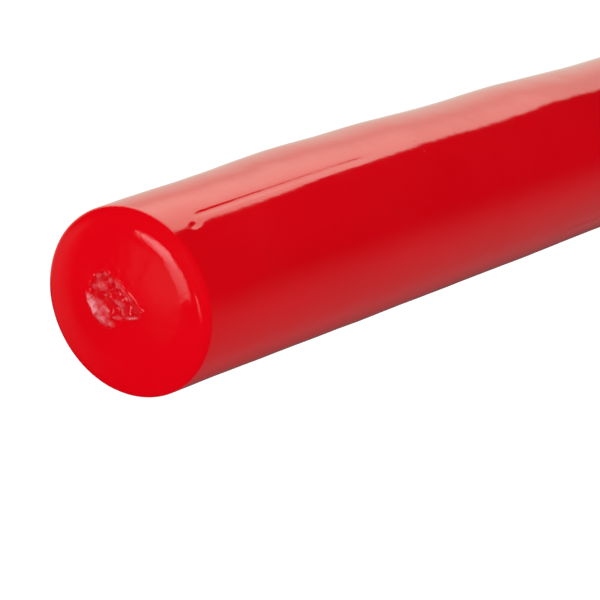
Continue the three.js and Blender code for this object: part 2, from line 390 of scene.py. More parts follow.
@dataclass
class Skin:
    """The points and faces of one closed skin."""

    points: np.ndarray
    faces: list[tuple[int, ...]]

    @classmethod
    def from_rings(cls, rings: np.ndarray, start: Sequence[float] | None = None,
                   end: Sequence[float] | None = None) -> "Skin":
        """Joins rings of points, each ring to the next.

        Args:
            rings: an array of rings, points and coordinates.
            start: a point that closes the first ring. Without it and end, the last ring joins the first.
            end: a point that closes the last ring.

        Returns:
            The skin.
        """
        count, around = rings.shape[:2]
        points = rings.reshape(-1, 3)
        looped = start is None and end is None
        faces: list[tuple[int, ...]] = []
        for row in range(count if looped else count - 1):
            here, there = row * around, ((row + 1) % count) * around
            for k in range(around):
                along = (k + 1) % around
                faces.append((here + k, here + along, there + along, there + k))
        for tip, row, flip in ((start, 0, True), (end, count - 1, False)):
            if tip is None:
                continue
            points = np.vstack([points, np.asarray(tip, float)[None]])
            middle, here = len(points) - 1, row * around
            for k in range(around):
                pair = (here + k, here + (k + 1) % around)
                faces.append((middle, *(pair[::-1] if flip else pair)))
        return cls(points, faces)

    def on_side(self, side: "Side", height: float) -> "Skin":
        """Moves a skin from a handle's own frame to its place on the driver.

        Args:
            side: the handle.
            height: the height of its axis above the mouth.

        Returns:
            The moved skin.
        """
        return Skin(self.points * (side.out, side.out, 1) + (0, 0, height), self.faces)


def steel_pieces() -> bpy.types.Collection:
    """The collection of the steel pieces built here, made the first time that it is asked for."""
    group = bpy.data.collections.get("steel_pieces")
    return group if group is not None else bpy.data.collections.new("steel_pieces")


def piece(name: str, skin: Skin, finish: Finish, *stands_for: str) -> bpy.types.Object:
    """Makes a skin into a piece of the driver.

    Args:
        name: the piece's name.
        skin: its mesh.
        finish: its finish.
        stands_for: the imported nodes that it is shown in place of.

    Returns:
        The piece.
    """
    mesh = bpy.data.meshes.new(name)
    mesh.from_pydata(skin.points.tolist(), [], skin.faces)
    shell = bmesh.new()
    shell.from_mesh(mesh)
    bmesh.ops.recalc_face_normals(shell, faces=shell.faces)
    shell.to_mesh(mesh)
    shell.free()
    mesh.shade_smooth()
    made = bpy.data.objects.new(name, mesh)
    bpy.context.scene.collection.objects.link(made)
    made.data.materials.append(finish.material())
    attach(made, BODY)
    if finish.slot is not Slot.VINYL:
        steel_pieces().objects.link(made)
    if stands_for:
        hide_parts(*stands_for)
    LOG.info("%s: %d faces, %s", name, len(mesh.polygons), finish.name)
    return made


def outline(corners: Sequence[Corner], closed: bool, longest: float, guard: float = 0.5 * MM) -> np.ndarray:
    """Rounds the corners of an outline and divides its long sides.

    Args:
        corners: the outline's corners.
        closed: whether the last corner joins the first.
        longest: the longest side to leave.
        guard: how far past a rounding a further point holds the flat beside it flat.

    Returns:
        The outline's points, (out, up) each.
    """
    spots = [np.array((c.out, c.up)) for c in corners]
    count = len(corners)
    path: list[np.ndarray] = []
    for i, (corner, spot) in enumerate(zip(corners, spots)):
        if corner.rounding == 0 or (not closed and i in (0, count - 1)):
            path.append(spot)
            continue
        back, ahead = spots[i - 1] - spot, spots[(i + 1) % count] - spot
        back_length, ahead_length = np.linalg.norm(back), np.linalg.norm(ahead)
        back, ahead = back / back_length, ahead / ahead_length
        reach = min(corner.rounding, 0.45 * back_length, 0.45 * ahead_length)
        if reach + guard < 0.5 * back_length:
            path.append(spot + back * (reach + guard))
        for t in np.linspace(0, 1, ARC_STEPS + 1):
            path.append(spot + back * reach * (1 - t) ** 2 + ahead * reach * t**2)
        if reach + guard < 0.5 * ahead_length:
            path.append(spot + ahead * (reach + guard))
    if closed:
        path.append(path[0])
    divided: list[np.ndarray] = []
    for here, there in zip(path, path[1:]):
        steps = max(1, math.ceil(np.linalg.norm(there - here) / longest))
        divided += [here + (there - here) * k / steps for k in range(steps)]
    if not closed:
        divided.append(path[-1])
    return np.array(divided)


def turned(profile: np.ndarray, segments: int = ROUND_SEGMENTS) -> np.ndarray:
    """Turns an outline about Z into rings."""
    angle = np.linspace(0, TURN, segments, endpoint=False)
    out, up = profile[:, :1], profile[:, 1:]
    return np.stack([out * np.cos(angle), out * np.sin(angle), up + 0 * angle], axis=2)


def outward(rings: np.ndarray, closed: bool) -> np.ndarray:
    """The direction square to the surface at each point of a set of rings.

    Args:
        rings: the rings.
        closed: whether the last ring joins the first.

    Returns:
        One direction for each point, pointing left of the way the rings run.
    """
    around = np.roll(rings, -1, 1) - np.roll(rings, 1, 1)
    along = np.roll(rings, -1, 0) - np.roll(rings, 1, 0) if closed else np.gradient(rings, axis=0)
    square = np.cross(around, along)
    return square / np.maximum(np.linalg.norm(square, axis=2, keepdims=True), 1e-12)


def lumps(points: np.ndarray, size: float, seed: int) -> np.ndarray:
    """Soft noise from about -1 to 1 at each point, with patches about size across."""
    shift = Vector((17.3 * seed, 5.1 * seed, 9.7 * seed))
    flat = points.reshape(-1, 3) / size
    values = [noise.noise(Vector(p) + shift) for p in flat]
    return np.array(values).reshape(points.shape[:-1])


def ease(values: np.ndarray, low: float, high: float) -> np.ndarray:
    """A smooth step from 0 at low to 1 at high."""
    t = np.clip((values - low) / (high - low), 0, 1)
    return t * t * (3 - 2 * t)


def knocked(rings: np.ndarray, closed: bool, where: np.ndarray, depth: float, size: float,
            seed: int) -> np.ndarray:
    """Presses small dents into rings of points.

    Args:
        rings: the rings.
        closed: whether the last ring joins the first.
        where: how much of the dents each point takes, 0 to 1.
        depth: the depth of the deepest.
        size: their size.
        seed: which set of dents.

    Returns:
        The dented rings.
    """
    dents = np.clip(lumps(rings, size, seed) - 0.12, 0, 1) * depth * where
    return rings - outward(rings, closed) * dents[..., None]


@dataclass(frozen=True)
class Bead:
    """How a run of weld metal is laid: the height of its crown and the pitch of its ripples."""

    crown: float = 0.9 * MM
    pitch: float = 2.0 * MM
    step: float = 0.35 * MM
    across: int = 12
    seed: int = 1

    def laid(self, roots: np.ndarray, first: np.ndarray, second: np.ndarray, looped: bool) -> Skin:
        """Lays a bead in a corner.

        Args:
            roots: the corner's own points along the run.
            first: the bead's toe on one side, at each of them.
            second: its toe on the other side.
            looped: whether the run comes back to its start.

        Returns:
            The bead's skin.
        """
        steps = np.linalg.norm(np.diff(first, axis=0), axis=1)
        gone = np.concatenate([[0], np.cumsum(steps)])
        whole = gone[-1] + (np.linalg.norm(first[0] - first[-1]) if looped else 0)
        ripples = max(1, round(whole / self.pitch))
        share = np.linspace(0, 1, self.across)
        arch = 4 * share * (1 - share)
        middle = (first + second) / 2
        lift = middle - roots
        lift = lift / np.linalg.norm(lift, axis=1, keepdims=True)
        phase = (gone[:, None] / whole * ripples + 0.45 * arch[None]) % 1.0
        ripple = 1 - 0.5 * phase**2
        wander = 1 + 0.25 * lumps(middle, 6 * MM, self.seed)[:, None]
        height = self.crown * arch[None] * ripple * wander
        toes = first[:, None] + (second - first)[:, None] * share[None, :, None]
        face = toes + lift[:, None] * height[..., None]
        rings = np.concatenate([face, roots[:, None]], axis=1)
        if looped:
            return Skin.from_rings(rings)
        taper = np.minimum(gone, whole - gone) / (1.6 * MM)
        shrink = np.sqrt(1 - (1 - np.clip(taper, 0.02, 1)) ** 2)[:, None, None]
        rings = roots[:, None] + (rings - roots[:, None]) * shrink
        ends = rings.mean(axis=1)
        return Skin.from_rings(rings, ends[0], ends[-1])


def run_of(length: float, step: float) -> np.ndarray:
    """Places along a run of this length, a step apart."""
    return np.linspace(0, length, max(2, round(length / step)))


def hoop(radius: float) -> np.ndarray:
    """Level directions all round Z, a bead's step apart at this radius."""
    angle = run_of(TURN, Bead().step / radius)[:-1]
    return np.stack([np.cos(angle), np.sin(angle), 0 * angle], axis=1)


# ------------------------------------------------------------------------------- barrel and collar
@dataclass(frozen=True)
class Barrel:
    """The driver's tube with its closed top: tube, plate, slug and the welds that hold them."""

    radius: float
    bore: float
    length: float
    slug_foot: float
    top: float
    mouth_chamfer: float = 2.4 * MM
    lip: float = 0.7 * MM
    top_groove: float = 3.5 * MM
    seam_angle: float = 3.4
    seam_height: float = 0.5 * MM
    seam_width: float = 1.6 * MM
    plug_radius: float = 6.2 * MM
    plug_crown: float = 1.3 * MM

    @classmethod
    def from_frame(cls) -> "Barrel":
        """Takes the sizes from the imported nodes."""
        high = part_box("barrel_tube")[1]
        slug_low, slug_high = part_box("striker_slug")
        return cls(radius=high.x, bore=slug_high.x + SLUG_GAP, length=high.z, slug_foot=slug_low.z,
                   top=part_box("top_plate")[1].z)

    def build(self) -> None:
        """Builds every piece of the barrel. The tube is hidden from gloss, so the grips don't mirror it."""
        zinc, weld = HotDipZinc(), ZincedWeld()
        piece("tube", self.tube(), zinc, "barrel_tube").visible_glossy = False
        piece("cap_plate", self.plate(), zinc, "top_plate")
        piece("cap_weld", self.plate_weld(), weld, "top_plate_weld")
        piece("slug", self.slug(), StruckSteel(), "striker_slug")
        for number, angle in enumerate((45, 135, 225, 315), 1):
            piece(f"plug_weld_{number}", self.plug_weld(math.radians(angle), number), weld,
                  f"slug_plug_weld_{number}")

    def tube(self) -> Skin:
        """The tube: a rolled and welded one, so its bore has a low seam, with a battered mouth."""
        profile = outline([
            Corner(self.radius, 0, self.lip),
            Corner(self.radius, self.length - self.top_groove, self.lip),
            Corner(self.radius - self.top_groove, self.length, self.lip),
            Corner(self.bore, self.length, self.lip),
            Corner(self.bore, self.mouth_chamfer, self.lip),
            Corner(self.bore + self.mouth_chamfer, 0, self.lip),
        ], True, 10 * MM)
        rings = turned(profile)
        inside = np.hypot(rings[..., 0], rings[..., 1]) < self.bore + 0.1 * MM
        angle = np.arctan2(rings[..., 1], rings[..., 0]) % TURN
        away = (angle - self.seam_angle) * self.bore / self.seam_width
        lift = self.seam_height * np.exp(-(away**2)) * inside
        rings[..., :2] *= (1 - lift / self.bore)[..., None]
        within = self.radius - np.hypot(rings[..., 0], rings[..., 1]) > 1 * MM
        low = ease(rings[..., 2], 8 * MM, 1 * MM) * within
        return Skin.from_rings(knocked(rings, True, low, 0.7 * MM, 4 * MM, 3))

    def plate(self) -> Skin:
        """The cap plate, peened a little by hammer blows."""
        foot = self.length + 0.2 * MM
        edge = self.radius
        profile = outline([
            Corner(DISC_MIDDLE, foot),
            Corner(edge - self.top_groove, foot, self.lip),
            Corner(edge, foot + self.top_groove, self.lip),
            Corner(edge, self.top, 2.2 * MM),
            Corner(DISC_MIDDLE, self.top),
        ], False, 1.5 * MM)
        rings = turned(profile)
        upper = ease(rings[..., 2], self.top - 4 * MM, self.top)
        rings = knocked(rings, False, upper, 0.9 * MM, 7 * MM, 11)
        rings = knocked(rings, False, upper, 0.35 * MM, 2.2 * MM, 5)
        return Skin.from_rings(rings, rings[0].mean(axis=0), rings[-1].mean(axis=0))

    def plate_weld(self) -> Skin:
        """The bead in the groove between tube and plate."""
        middle = self.length + 0.15 * MM
        around = hoop(self.radius)
        half = 0.92 * self.top_groove
        toe = self.radius - 0.25 * MM
        return Bead(crown=1.15 * MM, pitch=2.6 * MM, seed=4).laid(
            around * (self.radius - 0.6 * self.top_groove) + UPWARD * middle,
            around * toe + UPWARD * (middle - half),
            around * toe + UPWARD * (middle + half), True)

    def slug(self) -> Skin:
        """The solid slug. Its lower face is dented by the posts that it has driven."""
        radius = self.bore - SLUG_GAP
        profile = outline([
            Corner(DISC_MIDDLE, self.length),
            Corner(radius, self.length, self.lip),
            Corner(radius, self.slug_foot, 1.6 * MM),
            Corner(DISC_MIDDLE, self.slug_foot),
        ], False, 1.5 * MM)
        rings = turned(profile, ROUND_SEGMENTS // 2)
        lower = ease(rings[..., 2], self.slug_foot + 3 * MM, self.slug_foot)
        rings = knocked(rings, False, -lower, 0.8 * MM, 6 * MM, 7)
        return Skin.from_rings(rings, rings[0].mean(axis=0), rings[-1].mean(axis=0))

    def plug_weld(self, angle: float, seed: int) -> Skin:
        """One plug weld: a low spiral crown of weld metal standing on the tube.

        Args:
            angle: where it is round the tube.
            seed: which pattern of ripples.

        Returns:
            The weld's skin.
        """
        share = np.linspace(0.04, 1, 22)[:, None]
        turn = np.linspace(0, TURN, 72, endpoint=False)[None]
        swirl = 0.5 + 0.5 * np.cos(share * 4 * TURN - turn + seed)
        crown = self.plug_crown * (1 - share**2.6) * (0.86 + 0.14 * swirl) - 0.5 * MM * share**6
        across = self.plug_radius * share * (1 + 0.03 * np.sin(3 * turn + seed))
        aside, up = across * np.cos(turn), across * np.sin(turn)
        out = np.sqrt(self.radius**2 - aside**2) + crown
        top = np.stack([out, aside, up], axis=2)
        foot = top[-1:] * (0.96, 1, 1)
        rings = np.concatenate([top, foot])
        middle_height = (self.slug_foot + self.length) / 2
        skin = Skin.from_rings(rings, rings[0].mean(axis=0), foot[0].mean(axis=0))
        spin = np.array(Matrix.Rotation(angle, 3, "Z"))
        return Skin(skin.points @ spin.T + (0, 0, middle_height), skin.faces)


@dataclass(frozen=True)
class Collar:
    """The ring welded round the mouth."""

    inner: float
    outer: float
    height: float
    edge: float = 2.0 * MM

    @classmethod
    def from_frame(cls) -> "Collar":
        """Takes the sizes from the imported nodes."""
        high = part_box("mouth_collar")[1]
        return cls(inner=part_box("barrel_tube")[1].x, outer=high.x, height=high.z)

    def build(self) -> None:
        """Builds the ring and its weld."""
        piece("mouth_ring", self.ring(), HotDipZinc(), "mouth_collar")
        piece("mouth_ring_weld", self.weld(), ZincedWeld(), "collar_weld")

    def ring(self) -> Skin:
        """The ring, with its lower edge battered by stones and posts."""
        profile = outline([
            Corner(self.outer, 0, self.edge),
            Corner(self.outer, self.height, self.edge),
            Corner(self.inner + 0.05 * MM, self.height, 0.3 * MM),
            Corner(self.inner + 0.05 * MM, 0, 0.5 * MM),
        ], True, 1.6 * MM)
        rings = turned(profile, 2 * ROUND_SEGMENTS)
        away = np.hypot(rings[..., 0], rings[..., 1])
        outside = ease(away, self.inner + 1.5 * MM, self.outer - 1 * MM)
        low = ease(rings[..., 2], 9 * MM, 1 * MM)
        rings = knocked(rings, True, outside * low, 1.1 * MM, 5 * MM, 2)
        rings = knocked(rings, True, outside * (0.25 + 0.75 * low), 0.4 * MM, 2 * MM, 8)
        return Skin.from_rings(rings)

    def weld(self) -> Skin:
        """The fillet on the ring's upper edge."""
        around = hoop(self.inner)
        leg = self.outer - self.inner - self.edge
        return Bead(crown=1.0 * MM, pitch=2.3 * MM, seed=9).laid(
            around * (self.inner - 0.1 * MM) + UPWARD * (self.height - 0.2 * MM),
            around * (self.inner + leg) + UPWARD * (self.height - 0.15 * MM),
            around * (self.inner - 0.1 * MM) + UPWARD * (self.height + leg), True)


# ----------------------------------------------------------------------------------------- handles
class Side(Enum):
    """Which handle."""

    LEFT = "left"
    RIGHT = "right"

    @property
    def out(self) -> int:
        """The sign of X on that side."""
        return 1 if self is Side.RIGHT else -1


@dataclass(frozen=True)
class Handle:
    """One handle's steel: the bar, its weld, and the gusset under it with four beads.

    Its own frame has the bar's axis along X, away from the barrel, and Z up.
    """

    side: Side
    height: float
    barrel_radius: float
    bar_radius: float
    bar_end: float
    gusset_foot: float
    gusset_reach: float
    gusset_thickness: float
    bar_wall: float = 3.2 * MM
    weld_leg: float = 5.4 * MM
    small_leg: float = 3.9 * MM
    snipe: float = 8.5 * MM
    tip: float = 5.0 * MM
    plate_edge: float = 0.5 * MM

    @classmethod
    def from_frame(cls, side: Side) -> "Handle":
        """Takes one side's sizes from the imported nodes.

        Args:
            side: the handle.

        Returns:
            The handle.
        """
        name = side.value
        low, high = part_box(f"{name}_handle_bar")
        gusset_low, gusset_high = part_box(f"{name}_gusset")
        reach = max(abs(gusset_low.x), abs(gusset_high.x))
        return cls(side=side, height=(low.z + high.z) / 2, barrel_radius=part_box("barrel_tube")[1].x,
                   bar_radius=(high.z - low.z) / 2, bar_end=max(abs(low.x), abs(high.x)),
                   gusset_foot=gusset_low.z - (low.z + high.z) / 2, gusset_reach=reach,
                   gusset_thickness=gusset_high.y - gusset_low.y)

    def on_barrel(self, y: np.ndarray | float) -> np.ndarray:
        """x on the barrel's surface at y."""
        return np.sqrt(self.barrel_radius**2 - np.square(y))

    def under_bar(self, y: np.ndarray | float) -> np.ndarray:
        """Depth of the bar's underside below its axis at y."""
        return np.sqrt(self.bar_radius**2 - np.square(y))

    def build(self) -> None:
        """Builds every piece of the handle but the grip. The gusset is hidden from gloss, as the tube is."""
        name, zinc, weld = self.side.value, HotDipZinc(), ZincedWeld()
        self.fit("bar", self.bar(), zinc, f"{name}_handle_bar")
        self.fit("bar_weld", self.bar_weld(), weld, f"{name}_handle_weld")
        self.fit("web_plate", self.gusset(), zinc, f"{name}_gusset").visible_glossy = False
        for letter, face in (("a", 1), ("b", -1)):
            for run, bead in (("upright", self.upright_bead(face)), ("level", self.level_bead(face))):
                self.fit(f"{run}_bead_{letter}", bead, weld, f"{name}_gusset_{run}_weld_{letter}")

    def fit(self, name: str, skin: Skin, finish: Finish, node: str) -> bpy.types.Object:
        """Puts one of the handle's skins in its place."""
        return piece(f"{self.side.value}_{name}", skin.on_side(self.side, self.height), finish, node)

    def bar(self) -> Skin:
        """The bar, coped to the barrel."""
        angle = np.linspace(0, TURN, 160, endpoint=False)
        wall = self.bar_radius - self.bar_wall
        turns = [(self.bar_radius, share) for share in np.linspace(0, 1, 40)]
        turns += [(wall, 1.0), (wall, 0.0)]
        rings = []
        for radius, share in turns:
            y, z = radius * np.sin(angle), radius * np.cos(angle)
            foot = self.on_barrel(y) - 0.2 * MM
            rings.append(np.stack([foot + (self.bar_end - foot) * share, y, z], axis=1))
        return Skin.from_rings(np.array(rings))

    def bar_weld(self) -> Skin:
        """The fillet round the saddle-shaped joint."""
        angle = run_of(TURN, Bead().step / self.bar_radius)[:-1]

        def ring(out: float, along: float) -> np.ndarray:
            """Points round the bar, this far out from it and along it."""
            y, z = (self.bar_radius + out) * np.sin(angle), (self.bar_radius + out) * np.cos(angle)
            return np.stack([self.on_barrel(y) + along, y, z], axis=1)

        bead = Bead(crown=1.2 * MM, pitch=2.3 * MM, seed=6 + self.side.out)
        return bead.laid(ring(-0.3 * MM, -0.2 * MM), ring(-0.1 * MM, self.weld_leg),
                         ring(self.weld_leg, -0.05 * MM), True)

    def gusset(self) -> Skin:
        """The triangular web plate, with softened edges and a snipped corner."""
        surface = float(self.on_barrel(0)) - 0.3 * MM
        under = -self.bar_radius + 0.25 * MM
        foot = self.gusset_foot
        corners = [
            (surface, under - self.snipe), (surface, foot), (self.barrel_radius + self.tip, foot),
            (self.gusset_reach, -self.bar_radius - self.tip), (self.gusset_reach, under),
            (self.barrel_radius + self.snipe, under),
        ]
        flat = outline([Corner(x, z, 1.2 * MM) for x, z in corners], True, 4 * MM)
        middle = flat.mean(axis=0)
        half = self.gusset_thickness / 2
        levels = [(-half, 1), (-half, 0), (half, 0), (half, 1)]
        rings = []
        for level, inset in levels:
            steps = np.linspace(0, 1, 4) if inset == 0 else [0.0]
            for t in steps if level > 0 else steps[::-1]:
                drawn = self.plate_edge * (1 - math.sqrt(1 - t**2)) if inset == 0 else 2 * self.plate_edge
                depth = level - math.copysign(self.plate_edge * (1 - t), level) if inset == 0 else level
                pull = flat - middle
                pull = pull / np.linalg.norm(pull, axis=1, keepdims=True)
                shape = flat - pull * drawn
                rings.append(np.stack([shape[:, 0], np.full(len(shape), depth), shape[:, 1]], axis=1))
        solid = np.array(rings)
        return Skin.from_rings(solid, solid[0].mean(axis=0), solid[-1].mean(axis=0))

    def bead_in_corner(self, surface: np.ndarray, face: int) -> tuple[np.ndarray, ...]:
        """The corner and toes of a bead on one face of the gusset.

        Args:
            surface: the other piece's surface at the gusset's face and at the bead's toe.
            face: 1 for the +Y face, -1 for the -Y face.

        Returns:
            (across, y) of the root, the toe on the gusset and the toe on the surface.
        """
        side = self.gusset_thickness / 2
        root = np.array((surface[0] - 0.2 * MM, face * (side - 0.2 * MM)))
        on_gusset = np.array((surface[0] + self.small_leg, face * (side - 0.1 * MM)))
        on_surface = np.array((surface[1] - 0.1 * MM, face * (side + self.small_leg)))
        return root, on_gusset, on_surface

    def upright_bead(self, face: int) -> Skin:
        """The bead between gusset and barrel."""
        side = self.gusset_thickness / 2
        spots = self.bead_in_corner(self.on_barrel(np.array((side, side + self.small_leg))), face)
        foot = self.gusset_foot + 1.5 * MM
        run = run_of(-self.bar_radius - self.snipe - 1.5 * MM - foot, Bead().step) + foot
        lines = [np.stack([np.full(len(run), x), np.full(len(run), y), run], axis=1) for x, y in spots]
        return Bead(crown=0.8 * MM, pitch=1.9 * MM, seed=12 + face).laid(*lines, False)

    def level_bead(self, face: int) -> Skin:
        """The bead between gusset and bar."""
        side = self.gusset_thickness / 2
        spots = self.bead_in_corner(self.under_bar(np.array((side, side + self.small_leg))), face)
        start = self.barrel_radius + self.snipe + 1.5 * MM
        run = run_of(self.gusset_reach - 1.5 * MM - start, Bead().step) + start
        lines = [np.stack([run, np.full(len(run), y), np.full(len(run), -z)], axis=1) for z, y in spots]
        return Bead(crown=0.8 * MM, pitch=1.9 * MM, seed=20 + face).laid(*lines, False)


# ------------------------------------------------------------------------------------------- grips
def turned_from(angle: np.ndarray, turn: np.ndarray | float) -> np.ndarray:
    """Degrees from a turn to each angle, the shorter way round."""
    return (np.degrees(angle) - turn + 180) % 360 - 180


@dataclass(frozen=True)
class Swell:
    """A thick or thin place in the dip, in millimetres and degrees round from the top."""

    along: float
    turn: float
    height: float
    reach: float
    spread: float

    def rise(self, depth: np.ndarray, angle: np.ndarray) -> np.ndarray:
        """How much it adds to the dip.

        Args:
            depth: depth at each point.
            angle: angle round from the top at each column of points.

        Returns:
            The extra thickness.
        """
        away = turned_from(angle, self.turn)
        return self.height * np.exp(-((depth - self.along) / self.reach) ** 2 - (away / self.spread) ** 2)


@dataclass(frozen=True)
class DrainLine:
    """The shallow line that the dip left along the side as it ran off, with a hook near the rim.

    turn and hook_turn are degrees round from the top, and span is the degrees about turn that have
    finer columns. The pairs are depths between which the line starts, ends, weakens and hooks.
    """

    turn: float = 30.9
    groove_depth: float = 0.1
    width: float = 0.62
    span: tuple[float, float] = (-6.0, 12.0)
    column_count: int = 52
    starts: tuple[float, float] = (4.6, 6.2)
    ends: tuple[float, float] = (61.0, 51.0)
    weakens: tuple[float, float] = (12.0, 45.0)
    strength: float = 1.2
    loss: float = 0.55
    hook_turn: float = 7.0
    hooks: tuple[float, float] = (8.6, 5.6)

    def columns(self) -> np.ndarray:
        """The angles of the finer columns of points."""
        return np.radians(self.turn + np.linspace(*self.span, self.column_count))

    def groove(self, depth: np.ndarray, angle: np.ndarray, radius: float) -> np.ndarray:
        """How much the line takes away from the dip.

        Args:
            depth: depth at each point.
            angle: angle round from the top at each column of points.
            radius: the grip's radius.

        Returns:
            The thickness taken away.
        """
        line = self.turn + self.hook_turn * ease(depth, *self.hooks)
        away = turned_from(angle, line) * math.radians(radius)
        fade = ease(depth, *self.starts) * ease(depth, *self.ends)
        fade = fade * (self.strength - self.loss * ease(depth, *self.weakens))
        return self.groove_depth * fade * np.exp(-((away / self.width) ** 2))


@dataclass(frozen=True)
class Blob:
    """A smooth mound on the closed end, in millimetres from the bar's axis. turn is in degrees, and pale is
    how much painted highlight the mound takes.
    """

    right: float
    up: float
    length: float
    width: float
    turn: float
    height: float
    pale: float = 0.0

    def share(self, right: np.ndarray, up: np.ndarray) -> np.ndarray:
        """How much of the mound there is at each point: 1 over its middle, 0 beyond its rounded edge.

        Args:
            right: each point's place to the right.
            up: its place above the middle.

        Returns:
            The share, from 0 to 1.
        """
        lean = math.radians(self.turn)
        x, y = right - self.right, up - self.up
        along, across = x * math.cos(lean) + y * math.sin(lean), y * math.cos(lean) - x * math.sin(lean)
        return np.sqrt(ease(np.hypot(along / self.length, across / self.width), 1.25, 0.3))


@dataclass(frozen=True)
class TornDrip:
    """The torn place that the drip left on the closed end, in millimetres from the bar's axis."""

    seed: int
    depth: float = 0.30
    lip: float = 0.16
    lip_width: float = 0.22
    torn_relief: float = 0.55
    bubble_relief: float = 0.45
    wrinkle: float = 0.045
    wrinkle_reach: float = 2.2
    arch: float = 0.02
    arch_middle: tuple[float, float] = (-3.4, 3.2)
    arch_radius: float = 2.6
    softness: float = 0.02
    scar: tuple[tuple[float, float], ...] = (
        (-5.0, 3.3), (-3.0, 3.9), (-1.1, 2.4), (0.7, 0.8), (3.0, -1.6), (2.9, -2.4), (0.0, -3.2),
        (-2.0, -3.5), (-2.8, -5.0), (-4.5, -4.7), (-6.2, -3.0), (-6.5, -0.5), (-5.9, 2.0),
    )
    blobs: tuple[Blob, ...] = (
        Blob(-5.85, -1.6, 1.7, 0.6, -60, 0.55, 1.0),
        Blob(-4.6, -3.3, 1.5, 0.75, -42, 0.45, 0.5),
        Blob(-4.2, -2.0, 1.6, 0.7, -50, 0.15, 0.3),
        Blob(-3.9, 1.5, 1.1, 0.7, -15, 0.35, 0.24),
        Blob(-5.3, 1.2, 0.45, 0.4, 0, 0.32, 0.2),
        Blob(-4.4, 2.9, 0.5, 0.4, 30, 0.35, 0.2),
        Blob(-3.0, 3.4, 0.5, 0.35, 0, 0.3, 0.25),
        Blob(-2.3, 2.5, 0.45, 0.4, 0, 0.3, 0.2),
        Blob(-1.0, 2.0, 0.75, 0.5, -50, 0.35, 0.28),
        Blob(0.1, 1.0, 0.8, 0.3, -55, 0.35, 0.35),
        Blob(0.8, 0.0, 0.7, 0.25, -60, 0.3, 0.3),
        Blob(-0.9, -0.9, 0.9, 0.5, -25, 0.4, 0.3),
        Blob(-0.4, -2.1, 0.9, 0.3, -75, 0.35, 0.26),
        Blob(-3.5, 0.1, 0.4, 0.2, 10, 0.2, 0.25),
        Blob(1.2, -2.85, 1.0, 0.24, 8, 0.32, 0.5),
        Blob(-1.6, -3.2, 0.8, 0.25, 5, 0.25, 0.3),
        Blob(-3.1, -4.2, 0.9, 0.45, -20, 0.35, 0.34),
    )

    def relief(self, right: np.ndarray, up: np.ndarray, on_face: np.ndarray) -> tuple[np.ndarray, ...]:
        """The height of the torn drip and the fine wrinkles round it.

        Args:
            right: each point's place to the right of the bar's axis.
            up: its place above it.
            on_face: how far it belongs to the closed end.

        Returns:
            The height above the face, how torn each point is, and how pale it is with painted highlight,
            these two from 0 to 1.
        """
        inside = self.inside_scar(right, up)
        flat = np.stack([right, up, 0 * right + 3.1 * self.seed], axis=2)
        torn = ease(inside, -0.15, 0.25)
        bubbly = ease(up - 0.6 * right, 0.5, 4.0)
        ragged = np.abs(lumps(flat, 2.1, self.seed + 4)) * self.torn_relief
        ragged = ragged + bubbly * np.abs(lumps(flat, 0.75, self.seed + 5)) * self.bubble_relief
        rise = torn * (ragged - self.depth)
        lip = self.lip * np.exp(-((inside / self.lip_width) ** 2))
        rise = rise + lip * (0.4 + lumps(flat, 0.9, self.seed + 6))
        # pale holds the painted highlight: each mound's share of the pinkish glint colour.
        pale = 0 * rise
        for blob in self.blobs:
            share = blob.share(right + 0.25 * lumps(flat, 0.9, self.seed + 9), up)
            rise = rise + blob.height * share
            pale = np.maximum(pale, blob.pale * share)
        middle = np.mean(np.array(self.scar), axis=0)
        bearing = np.arctan2(up - middle[1], right - middle[0])
        spokes = np.stack([3.0 * np.cos(bearing), 3.0 * np.sin(bearing), 0.12 * inside], axis=2)
        leftward = 0.25 + 0.75 * ease(-np.cos(bearing), -0.2, 0.7)
        near = np.exp(-np.clip(-inside, 0, None) / self.wrinkle_reach) * (inside < 0) * leftward
        rise = rise + self.wrinkle * near * lumps(spokes, 0.35, self.seed + 7)
        off_arch = np.hypot(right - self.arch_middle[0], up - self.arch_middle[1]) - self.arch_radius
        above = (inside < -0.3) * (up > 4.0)
        rise = rise + self.arch * np.exp(-((off_arch / 0.3) ** 2)) * above
        rise = rise + self.softness * lumps(flat, 5.0, self.seed + 8)
        return rise * on_face, torn * on_face, pale * on_face

    def inside_scar(self, right: np.ndarray, up: np.ndarray) -> np.ndarray:
        """How far inside the scar's outline each point is. Outside it, the distance is negative."""
        spots = np.array(self.scar)
        nearest = np.full(right.shape, 1e9)
        crossings = np.zeros(right.shape, int)
        for (x0, y0), (x1, y1) in zip(spots, np.roll(spots, -1, axis=0)):
            dx, dy = x1 - x0, y1 - y0
            share = np.clip(((right - x0) * dx + (up - y0) * dy) / (dx * dx + dy * dy), 0, 1)
            nearest = np.minimum(nearest, np.hypot(right - x0 - share * dx, up - y0 - share * dy))
            spans = (y0 > up) != (y1 > up)
            meets = x0 + (up - y0) / (dy if dy else 1e-9) * dx
            crossings += spans & (right < meets)
        return np.where(crossings % 2 == 1, nearest, -nearest)


